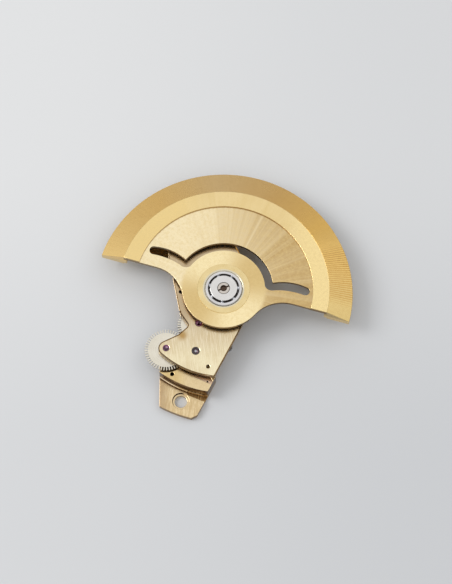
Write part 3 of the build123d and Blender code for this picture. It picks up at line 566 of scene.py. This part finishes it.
# rubies: cloudy stones, each with a cup of another tone, painted shade in a and b and paler in
# c, and one painted bright glint
rubyFinish = {
    "stones": {
        "a": {"tone": colour(132, 44, 84), "shade": colour(86, 20, 52),
              "cup": colour(48, 6, 26), "glint": colour(240, 176, 214),
              "glintPlace": Vector((-0.12, 0.06, 0)) * mm, "glintRadius": 0.10 * mm},
        "b": {"tone": colour(130, 46, 106), "shade": colour(84, 20, 64),
              "cup": colour(44, 6, 34), "glint": colour(244, 190, 226),
              "glintPlace": Vector((0.04, 0.10, 0)) * mm, "glintRadius": 0.10 * mm},
        "c": {"tone": colour(42, 10, 18), "shade": colour(26, 6, 12),
              "cup": colour(90, 50, 62), "glint": colour(214, 160, 176),
              "glintPlace": Vector((0.13, -0.04, 0)) * mm, "glintRadius": 0.08 * mm},
    },
    "cloudScale": 2400,
    "cupRadius": 0.22 * mm,
    "cupBlur": 0.04 * mm,
    "glintBlur": 0.05 * mm,
    "roughness": 0.05,
    "gloss": {"IOR": 1.76, "Transmission Weight": 0.15, "Coat Weight": 0.25,
              "Coat Roughness": 0.03},
}


def makeRuby(unit, values):
    stone, axis = values["stones"][unit], axes[unit]
    bench = Bench("ruby" + unit.upper())
    spot = bench.spot()
    cloud = bench.noise(spot, values["cloudScale"], detail=3, roughness=0.6, distortion=0.5)
    tone = bench.blend(bench.between(cloud, 0.38, 0.66), stone["shade"], stone["tone"])
    # painted shade in the cup of a and b; c has a paler cup
    cup = bench.within(spot, axis, values["cupRadius"], values["cupBlur"])
    tone = bench.blend(0.8 * cup, tone, stone["cup"])
    # painted highlight: one bright glint
    glint = bench.within(spot, axis + stone["glintPlace"], stone["glintRadius"],
                         values["glintBlur"])
    tone = bench.blend(glint * bench.between(cloud, 0.40, 0.55, start=0.35), tone,
                       stone["glint"])
    rough = values["roughness"] + (cloud - 0.5) * 0.03
    return bench.surface({"Base Color": tone, "Roughness": rough, **values["gloss"]})


rotorGilt = makeRotorGilt(rotorFinish)
weightGilt = makeWeightGilt(weightFinish)
upperGilt = makeUpperGilt(upperFinish)
lowerGilt = makeLowerGilt(lowerFinish)
turnedMetal = {name: makeTurned(name, values) for name, values in turnedFinish.items()}
satinMetal = {name: makeSatin(name, values) for name, values in satinFinish.items()}
ruby = {unit: makeRuby(unit, rubyFinish) for unit in rubyFinish["stones"]}
print("finishes ready")

levelRise = 0.9999  # a face whose normal rises this far is level
mend = {"packed": 0.0002 * mm, "spun": 0.0005 * mm, "flat": math.radians(0.4)}


def paint(piece, *materials):
    if piece.data.materials:  # clearing also sets each face back to the first material
        piece.data.materials.clear()
    for material in materials:
        piece.data.materials.append(material)


# a bmesh made into a piece, smooth but for its sharp edges
def finished(name, shape, materials, sharp=20):
    mesh = bpy.data.meshes.new(name)
    for face in shape.faces:
        face.smooth = abs(face.normal.z) < levelRise  # level faces stay dead flat
    shape.to_mesh(mesh)
    shape.free()
    if "custom_normal" in mesh.attributes:
        mesh.attributes.remove(mesh.attributes["custom_normal"])
    mesh.set_sharp_from_angle(angle=math.radians(sharp))
    piece = bpy.data.objects.new(name, mesh)
    scene.collection.objects.link(piece)
    paint(piece, *materials)
    return piece


# the same, handed to its body, with the imported piece that it stands for hidden
def settled(name, shape, body, materials, node, sharp=20):
    piece = finished(name, shape, materials, sharp)
    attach(piece, body)
    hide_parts(node)


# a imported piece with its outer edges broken, as the maker's file leaves them
def eased(node, name, body, materials, edge, reshape=None):
    shape = bmesh.new()
    shape.from_mesh(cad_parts[node].data)
    bmesh.ops.remove_doubles(shape, verts=shape.verts, dist=mend["packed"])
    bmesh.ops.dissolve_limit(shape, angle_limit=mend["flat"], verts=shape.verts,
                             edges=shape.edges)
    if reshape is not None:
        reshape(shape)
    rims = [e for e in shape.edges if e.is_manifold and e.is_convex
            and e.calc_face_angle(0) > math.radians(edge["least"])]
    bmesh.ops.bevel(shape, geom=rims, offset=edge["width"], offset_type="OFFSET",
                    affect="EDGES", segments=edge["steps"], profile=0.5, material=-1,
                    clamp_overlap=False)
    settled(name, shape, body, materials, node)


# a closed section of (radius, height) in millimetres, spun about an upright axis
def spun(section, axis, turns):
    shape = bmesh.new()
    corners = [shape.verts.new((axis.x + radius * mm, axis.y, height * mm))
               for radius, height in section]
    sides = [shape.edges.new(pair) for pair in zip(corners, corners[1:] + corners[:1])]
    bmesh.ops.spin(shape, geom=corners + sides, cent=axis, axis=(0, 0, 1),
                   angle=2 * math.pi, steps=turns, use_merge=True, use_duplicate=False)
    bmesh.ops.remove_doubles(shape, verts=shape.verts, dist=mend["spun"])
    bmesh.ops.recalc_face_normals(shape, faces=shape.faces)
    return shape


plateEdge = {"width": 0.018 * mm, "least": 35, "steps": 2}  # least: angle of a broken edge
eased("rotor_plate", "rotorPlate", "rotor", [rotorGilt], plateEdge)

# the heavy rim: turned from its section, then cut along the rotor's straight edge
rimShape = {
    "section": [(10.499, 2.0), (12.74, 2.0), (12.797, 2.06), (12.797, 2.618), (12.790, 2.645),
                (12.772, 2.661), (10.46, 3.596), (10.45, 3.59), (10.45, 3.07), (10.2, 3.07),
                (10.2, 2.2), (10.499, 2.2)],
    "turns": 256,
    "angle": 73.7,  # the way that the heavy half looks
    "offset": 0.36 * mm,  # from the axis to the cut
    "break": 0.02 * mm,
    "snap": 0.0001 * mm,
    "longEdge": 0.4 * mm,  # shorter edges of the cut stay sharp
    "sharp": 12,
}
shape = spun(rimShape["section"], rotorAxis, rimShape["turns"])
towards = Vector((math.cos(math.radians(rimShape["angle"])),
                  math.sin(math.radians(rimShape["angle"])), 0))
bmesh.ops.bisect_plane(shape, geom=shape.verts[:] + shape.edges[:] + shape.faces[:],
                       dist=rimShape["snap"], plane_co=towards * rimShape["offset"],
                       plane_no=towards, clear_inner=True)
ends = bmesh.ops.holes_fill(shape, edges=[e for e in shape.edges if e.is_boundary], sides=0)
longEdges = [e for face in ends["faces"] for e in face.edges
             if e.calc_length() > rimShape["longEdge"]]
bmesh.ops.bevel(shape, geom=list(dict.fromkeys(longEdges)), offset=rimShape["break"],
                offset_type="OFFSET", affect="EDGES", segments=1, profile=0.5, material=-1)
bmesh.ops.recalc_face_normals(shape, faces=shape.faces)
settled("rotorRim", shape, "rotor", [weightGilt], "rotor_weight",
        rimShape["sharp"])

# the upper bridge has a narrow line of painted shade along its broken edges, but not at the
# small holes
upperShape = {"top": 2.65 * mm, "near": 0.002 * mm, "line": 0.075 * mm, "fall": 0.028 * mm,
              "least": 1.2 * mm}
upperEdge = {"width": 0.05 * mm, "least": 60, "steps": 2}


# each group of joined faces in turn
def islands(faces):
    left = set(faces)
    while left:
        island, front = [], [left.pop()]
        while front:
            face = front.pop()
            island.append(face)
            near = {other for e in face.edges for other in e.link_faces} & left
            left -= near
            front.extend(near)
        yield island


def lineEdges(shape):
    top = [f for f in shape.faces if f.normal.z > levelRise
           and abs(f.calc_center_median().z - upperShape["top"]) < upperShape["near"]]
    inTop = set(top)
    outer = {v for f in top for e in f.edges if len(set(e.link_faces) & inTop) == 1
             for v in e.verts}
    ring = bmesh.ops.inset_region(shape, faces=top, thickness=upperShape["line"], depth=0,
                                  use_even_offset=True, use_boundary=True)
    for island in islands(ring["faces"]):
        corners = {v for face in island for v in face.verts}
        places = [v.co.x for v in corners]
        if max(places) - min(places) < upperShape["least"]:
            continue
        for face in island:
            face.material_index = 1
        for v in corners & outer:
            v.co.z = upperShape["top"] - upperShape["fall"]


eased("upper_bridge", "upperBridge", "bridge", [upperGilt, satinMetal["edgeShadeGilt"]],
      upperEdge, lineEdges)

lowerEdge = {"width": 0.03 * mm, "least": 60, "steps": 2}
eased("lower_bridge", "lowerBridge", "bridge", [lowerGilt], lowerEdge)

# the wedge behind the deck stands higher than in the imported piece, where light reaches it
deckShape = {"wedgePacked": 1.62 * mm, "near": 0.01 * mm, "wedge": 1.83 * mm}
deckEdge = {"width": 0.03 * mm, "least": 50, "steps": 2}


def raiseWedge(shape):
    for v in shape.verts:
        if abs(v.co.z - deckShape["wedgePacked"]) < deckShape["near"]:
            v.co.z = deckShape["wedge"]


eased("bridge_deck", "bridgeDeck", "bridge", [lowerGilt], deckEdge, raiseWedge)

screwEdge = {"width": 0.015 * mm, "least": 60, "steps": 2}
eased("rotor_screw", "centreScrew", "bridge", [turnedMetal["screwSteel"]], screwEdge)

# the reversing wheels' teeth are cut deep, like the teeth of a comb
wheelShape = {"rootFrom": 1.90 * mm, "rootTo": 2.00 * mm, "slit": 1.784 * mm}
wheelEdge = {"width": 0.008 * mm, "least": 60, "steps": 1}


def cutSlits(shape, axis):
    for v in shape.verts:
        reach = Vector((v.co.x - axis.x, v.co.y - axis.y, 0))
        if wheelShape["rootFrom"] < reach.length < wheelShape["rootTo"]:
            deep = reach.normalized() * wheelShape["slit"]
            v.co.x, v.co.y = axis.x + deep.x, axis.y + deep.y


for unit in "ab":
    eased(f"reverser_wheel_{unit}", f"reversingWheel{unit.upper()}", f"reverser_{unit}",
          [turnedMetal["wheelNickel" + unit.upper()]], wheelEdge,
          lambda shape: cutSlits(shape, axes[unit]))
print("plates, rim and wheels eased")

# the bearing's rings and the bush, with their small chamfers and rounded lips
bushShape = {
    "section": [(1.856, 2.77), (2.13, 2.77), (2.15, 2.79), (2.15, 3.42), (2.60, 3.42),
                (2.60, 3.477), (2.587, 3.49), (1.94, 3.49), (1.915, 3.478), (1.87, 3.435),
                (1.856, 3.40)],
    "turns": 128,
}
settled("hubBush", spun(bushShape["section"], rotorAxis, bushShape["turns"]), "rotor",
        [turnedMetal["bushGilt"]], "hub_bush")
ringShape = {
    "section": [(1.55, 1.925), (1.69, 1.925), (1.69, 2.215), (1.845, 2.215), (1.845, 3.480),
                (1.78, 3.55), (1.565, 3.55), (1.55, 3.535),
                (1.55, 3.33), (1.605, 3.295), (1.675, 3.22), (1.705, 3.10), (1.675, 2.98),
                (1.605, 2.905), (1.55, 2.87)],
    "turns": 112,
}
settled("outerRing", spun(ringShape["section"], rotorAxis, ringShape["turns"]), "rotor",
        [turnedMetal["ringSteel"]], "outer_ring")
raceShape = {
    "section": [(0.38, 3.105), (1.185, 3.105), (1.20, 3.20), (1.26, 3.29), (1.34, 3.34),
                (1.34, 3.565), (1.33, 3.588), (1.305, 3.60), (0.635, 3.60), (0.62, 3.585),
                (0.62, 3.302), (0.38, 3.302)],
    "turns": 96,
}
settled("innerRace", spun(raceShape["section"], rotorAxis, raceShape["turns"]), "bridge",
        [turnedMetal["raceSteel"]], "upper_race")

ballShape = {"count": 7, "firstAngle": 7.0, "circle": 1.4425 * mm, "radius": 0.25 * mm,
             "height": 3.1 * mm, "around": 32, "rows": 20, "sharp": 60}
shape = bmesh.new()
for number in range(ballShape["count"]):
    angle = math.radians(ballShape["firstAngle"] + number * 360 / ballShape["count"])
    place = Matrix.Translation((ballShape["circle"] * math.cos(angle),
                                ballShape["circle"] * math.sin(angle), ballShape["height"]))
    bmesh.ops.create_uvsphere(shape, u_segments=ballShape["around"],
                              v_segments=ballShape["rows"], radius=ballShape["radius"],
                              matrix=place)
settled("bearingBalls", shape, "cage", [satinMetal["ballSteel"]],
        "bearing_balls", ballShape["sharp"])

# ruby jewels with a hollow oil cup round the pivot's hole, in millimetres
jewelShape = {
    "radius": {"a": 0.33, "b": 0.33, "c": 0.40},
    "hole": {"a": 0.105, "b": 0.105, "c": 0.135},
    "faces": {"upper": (2.62, -1), "lower": (0.27, 1)},  # height, and the way into the stone
    "thickness": 0.30,
    "corner": 0.015,
    "cupDepth": 0.11,
    "cupWidth": 0.12,
    "cupSteps": 4,
    "holeEdge": 0.13,
    "turns": 48,
}
for unit, axis in axes.items():
    radius, hole = jewelShape["radius"][unit], jewelShape["hole"][unit]
    corner = jewelShape["corner"]
    for storey, (face, inward) in jewelShape["faces"].items():
        section = [(hole, face + inward * jewelShape["holeEdge"])]
        for step in range(jewelShape["cupSteps"] + 1):
            turn = step / jewelShape["cupSteps"] * math.pi / 2
            section.append((hole + corner + jewelShape["cupWidth"] * math.sin(turn),
                            face + inward * jewelShape["cupDepth"] * math.cos(turn)))
        back = face + inward * jewelShape["thickness"]
        section += [(radius - corner, face), (radius, face + inward * corner),
                    (radius, back), (hole, back)]
        settled(f"{storey}Jewel{unit.upper()}", spun(section, axis, jewelShape["turns"]),
                "bridge", [ruby[unit]], f"{storey}_jewel_{unit}")
print("bearing and jewels turned")

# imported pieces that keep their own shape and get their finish
plainPieces = {
    "bridge_pillars": lowerGilt,
    "pillar_screws": satinMetal["plainSteel"],
    "rotor_post": satinMetal["plainSteel"],
    "lower_race": turnedMetal["raceSteel"],
    "rotor_gear": satinMetal["plainSteel"],
    "bearing_cage": satinMetal["cageSteel"],
    "reduction_wheel": satinMetal["wheelBrass"],
    "reduction_arbor": satinMetal["plainSteel"],
}
for unit in "ab":
    plainPieces[f"wheel_bush_{unit}"] = satinMetal["wheelBrass"]
    plainPieces[f"clutch_arbor_{unit}"] = satinMetal["darkSteel"]
    for node in (f"pawl_studs_{unit}", f"clutch_pinion_{unit}", f"ratchet_{unit}",
                 f"pawl_{unit}_1", f"pawl_{unit}_2"):
        plainPieces[node] = satinMetal["plainSteel"]
for node, material in plainPieces.items():
    paint(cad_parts[node], material)
print("plain pieces painted")

# floor: a pale sheet that the module lies on, with painted shade: a little greyer to the right
# and in front, as the light falls off
stageFinish = {
    "tone": colour(217, 218, 219),
    "toneFarShade": colour(197, 199, 202),
    "right": (-22 * mm, 22 * mm),
    "front": (18 * mm, -18 * mm),
    "cloudScale": 9,
    "grainScale": 900,
    "grainDepth": 0.004 * mm,
    "roughness": 0.62,
    "gloss": 0.2,
    "size": 1.2,
    "drop": 0.002 * mm,
}
bench = Bench("paleSheet")
spot = bench.spot()
parts = bench.split(spot)
grain = bench.noise(spot, stageFinish["grainScale"], detail=3)
cloud = bench.noise(spot, stageFinish["cloudScale"], detail=2)
# painted shade: the floor greys to the right and in front
fall = (bench.between(parts.out("X"), *stageFinish["right"], end=0.35)
        + bench.between(parts.out("Y"), *stageFinish["front"], end=0.5))
sheetTone = bench.blend(fall + (cloud - 0.5) * 0.1, stageFinish["tone"],
                        stageFinish["toneFarShade"])
sheet = bench.surface({
    "Base Color": sheetTone, "Roughness": stageFinish["roughness"] + (grain - 0.5) * 0.1,
    "Specular IOR Level": stageFinish["gloss"],
    "Normal": bench.bump(grain, stageFinish["grainDepth"], strength=0.4)})
shape = bmesh.new()
bmesh.ops.create_grid(shape, x_segments=8, y_segments=8, size=stageFinish["size"] / 2,
                      matrix=Matrix.Translation((0, 0, -stageFinish["drop"])))
floor = finished("floor", shape, [sheet])

# soft light: a box on the left at 45 degrees, a weak one from the right, a graded room
lightSet = {
    "boxes": {"key": {"place": (-0.27, 0.03, 0.27), "size": 0.20, "power": 0.55},
              "fill": {"place": (0.26, 0.15, 0.30), "size": 0.22, "power": 0.10}},
    # brightness against the height of the direction, from level (0) to straight up (1)
    "sky": [(0.0, 0.08), (0.15, 0.22), (0.32, 0.68), (0.66, 0.74), (0.88, 0.94), (1.0, 0.94)],
    "seen": 0.85,  # brightness of the room where the camera sees it
}
for name, values in lightSet["boxes"].items():
    lamp = bpy.data.lights.new(name + "Box", "AREA")
    lamp.shape = "SQUARE"
    lamp.size = values["size"]
    lamp.energy = values["power"]
    holder = bpy.data.objects.new(name + "Box", lamp)
    holder.location = values["place"]
    holder.rotation_euler = (-Vector(values["place"])).to_track_quat("-Z", "Y").to_euler()
    scene.collection.objects.link(holder)
room = Bench("room", world=True)
way = room.split(room.add("ShaderNodeTexCoord").out("Generated"))
stops = [(height, (grey, grey, grey, 1)) for height, grey in lightSet["sky"]]
sky = room.add("ShaderNodeValToRGB", {"stops": stops}, {0: way.out("Z")})
seen = room.add("ShaderNodeLightPath").out("Is Camera Ray")
glow = room.add("ShaderNodeBackground", None, {
    "Color": (1.0, 1.0, 1.0, 1.0),
    "Strength": sky * (1 - seen) + seen * lightSet["seen"]})
room.add("ShaderNodeOutputWorld", None, {"Surface": glow})
scene.world = room.made
print("stage and lights set")

# camera: 68 degrees above the floor, from the side of the free foot
cameraSet = {"elevation": 68.08, "distance": 0.2, "lens": 124.9, "sensor": 36,
             "target": (0, 0, 3.6 * mm), "shiftX": 0.00406, "shiftY": -0.00687,
             "near": 0.01, "far": 10}
lens = bpy.data.cameras.new("camera")
lens.sensor_width = cameraSet["sensor"]
lens.sensor_fit = "AUTO"
lens.lens = cameraSet["lens"]
lens.clip_start = cameraSet["near"]
lens.clip_end = cameraSet["far"]
lens.shift_x = cameraSet["shiftX"]
lens.shift_y = cameraSet["shiftY"]
camera = bpy.data.objects.new("camera", lens)
lift = math.radians(cameraSet["elevation"])
camera.location = Vector(cameraSet["target"]) + cameraSet["distance"] * Vector(
    (0, -math.cos(lift), math.sin(lift)))
camera.rotation_euler = (math.pi / 2 - lift, 0, 0)
scene.collection.objects.link(camera)
scene.camera = camera
print("camera set")
